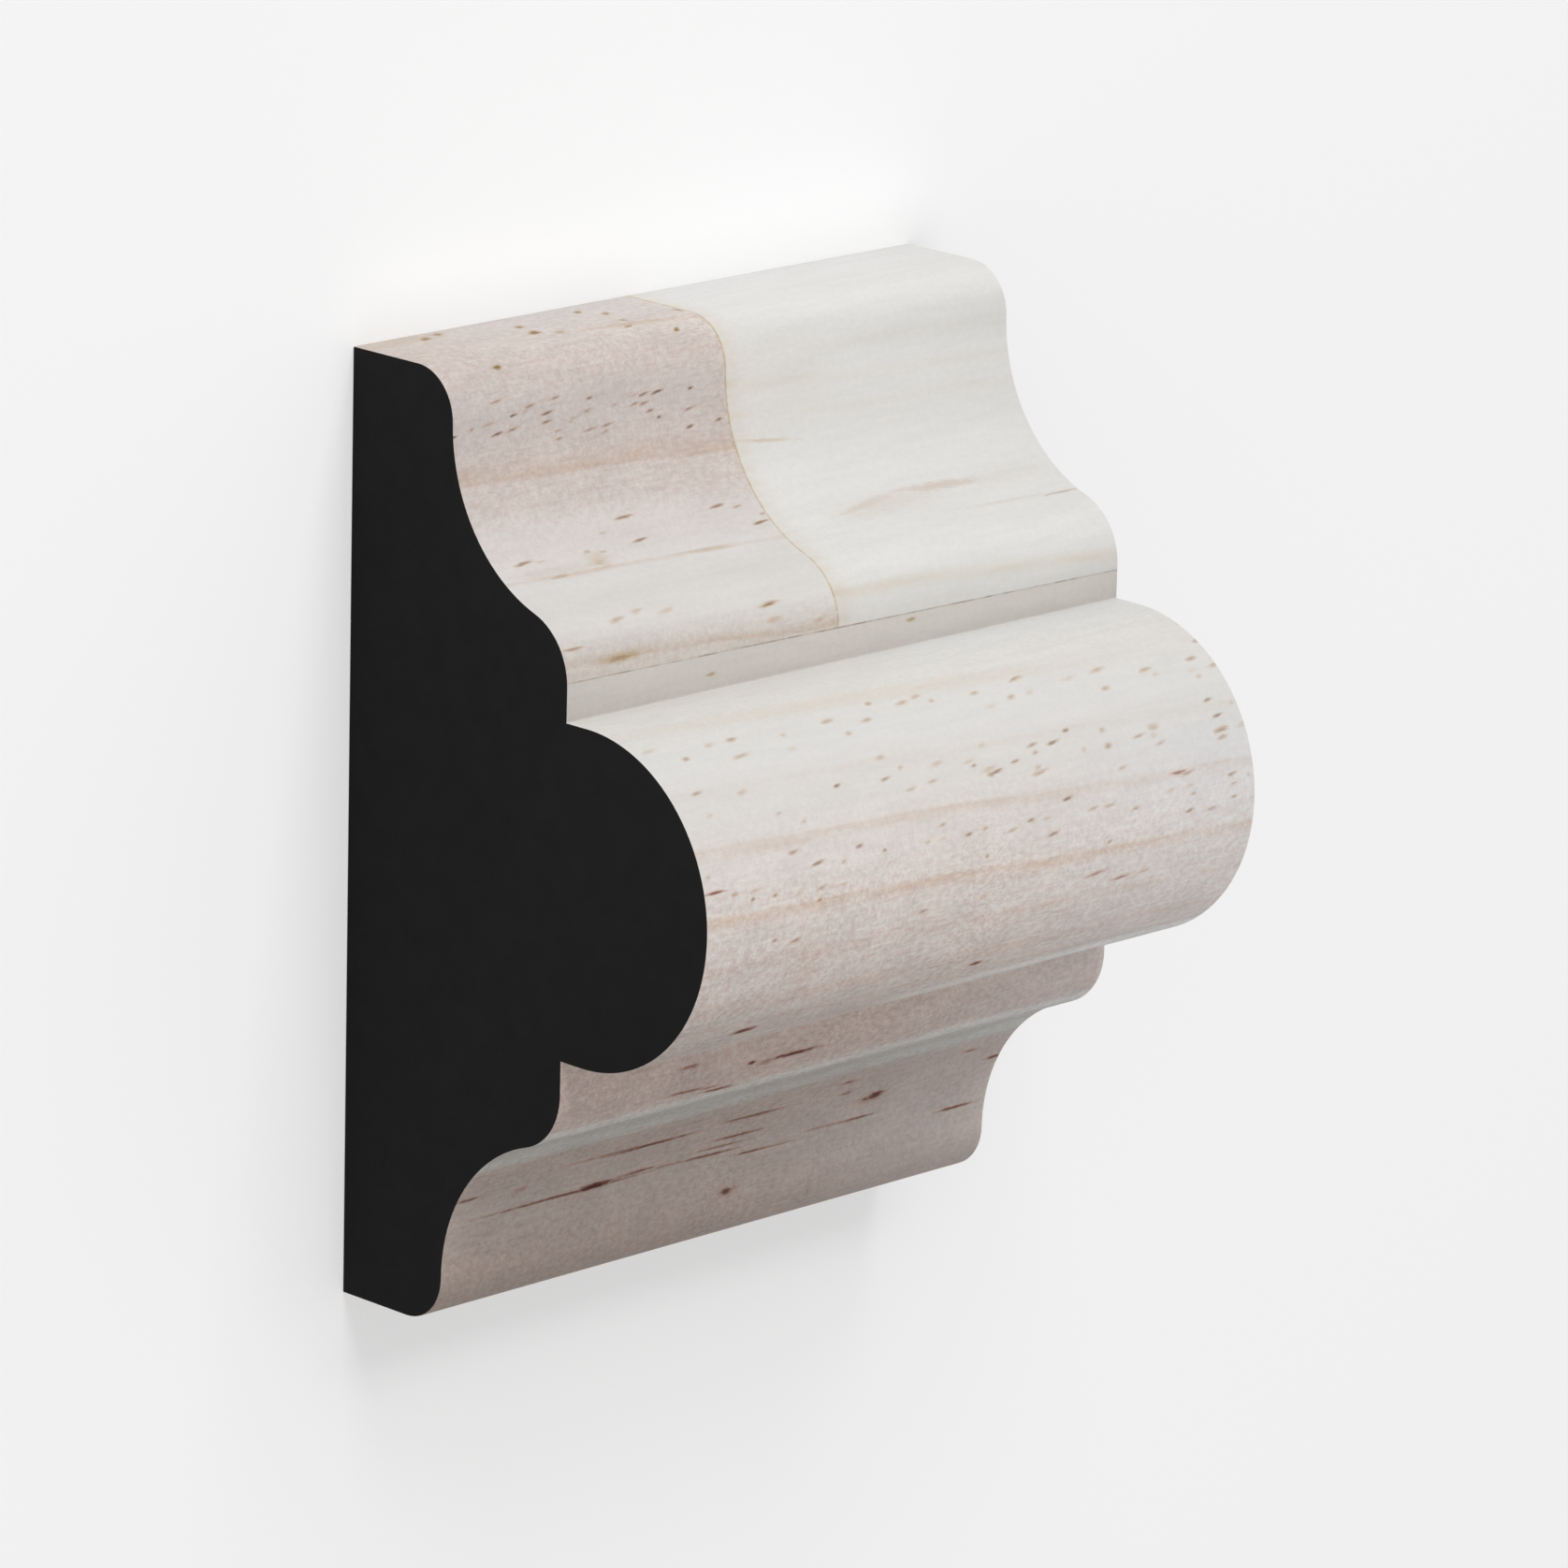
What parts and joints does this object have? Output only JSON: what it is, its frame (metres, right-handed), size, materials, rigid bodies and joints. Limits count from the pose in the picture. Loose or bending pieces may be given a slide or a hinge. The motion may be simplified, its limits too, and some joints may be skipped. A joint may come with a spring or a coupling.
{
  "type": "inlay moulding",
  "caption": "Short sawn length of symmetrical pine inlay moulding: a half-round torus between flat fillets, ogee slopes down to thin rounded edges, and a flat back that is fixed to a panel.",
  "frame": {"origin": "centre of the flat back, which lies on the floor", "axes": "+X along the moulding's length, +Y across its width (up in the picture), +Z out of the moulded face"},
  "size_m": [0.045, 0.057, 0.03],
  "materials": {
    "pine": "machined and unfinished, pale finger-jointed pine with brown resin flecks, ends sealed matt black"
  },
  "bodies": {
    "root": {"inlay_moulding": "pine"}
  },
  "joints": []
}
